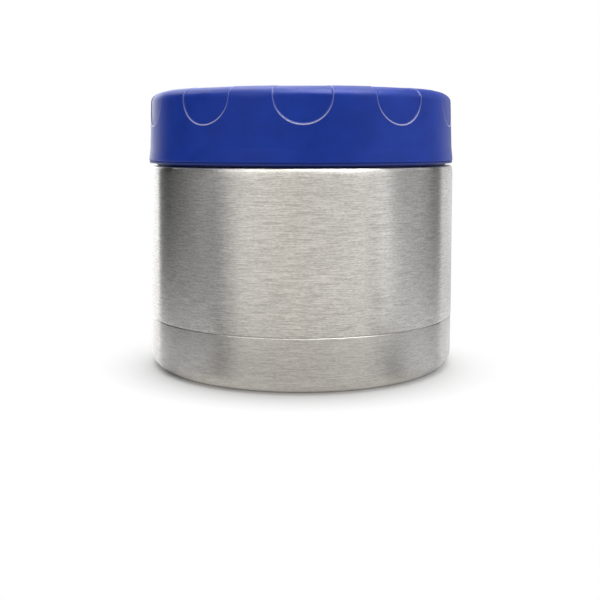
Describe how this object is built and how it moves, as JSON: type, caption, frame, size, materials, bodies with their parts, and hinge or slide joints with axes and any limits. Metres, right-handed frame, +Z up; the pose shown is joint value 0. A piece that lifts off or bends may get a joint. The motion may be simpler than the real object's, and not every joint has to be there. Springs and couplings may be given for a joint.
{
  "type": "insulated food jar",
  "caption": "Wide, squat vacuum food jar of brushed steel with a seam above its rounded base and a blue screw-on insulated lid with finger scallops.",
  "frame": {"origin": "on the jar's axis, in the plane of the standing ring that it rests on", "axes": "+Z up along the jar's axis through the lid, -Y towards the viewer, +X to the viewer's right"},
  "size_m": [0.107, 0.107, 0.0957],
  "materials": {
    "brushed_steel_wall": "brushed",
    "drawn_steel": "satin",
    "lid_plastic": "satin",
    "liner_plastic": "satin",
    "silicone": "matte",
    "foam": "matte",
    "solder_glass": "gloss",
    "getter_metal": "matte",
    "spring_strip": "satin",
    "foil": "polished"
  },
  "bodies": {
    "jar": {"outer_shell": "brushed_steel_wall", "inner_vessel": "drawn_steel", "base_cup": "brushed_steel_wall", "vacuum_bottom": "drawn_steel", "port_seal": "solder_glass", "getter_pill": "getter_metal", "getter_clip": "spring_strip", "radiation_shield": "foil"},
    "seal": {"lid_gasket": "silicone"},
    "lid": {"lid_cap": "lid_plastic", "lid_liner": "liner_plastic", "lid_insulation": "foam"}
  },
  "joints": [
    {"name": "lid_rise", "type": "slide", "parent": "jar", "child": "seal", "axis": [0, 0, 1], "range_m": [0, 0.03]},
    {"name": "lid_turn", "type": "hinge", "parent": "seal", "child": "lid", "pos_m": [0, 0, 0], "axis": [0, 0, 1], "range_deg": [0, 1080]}
  ],
  "couplings": [
    {"joint": "lid_rise", "follows": "lid_turn", "m_per_rad": 0.0015915}
  ]
}
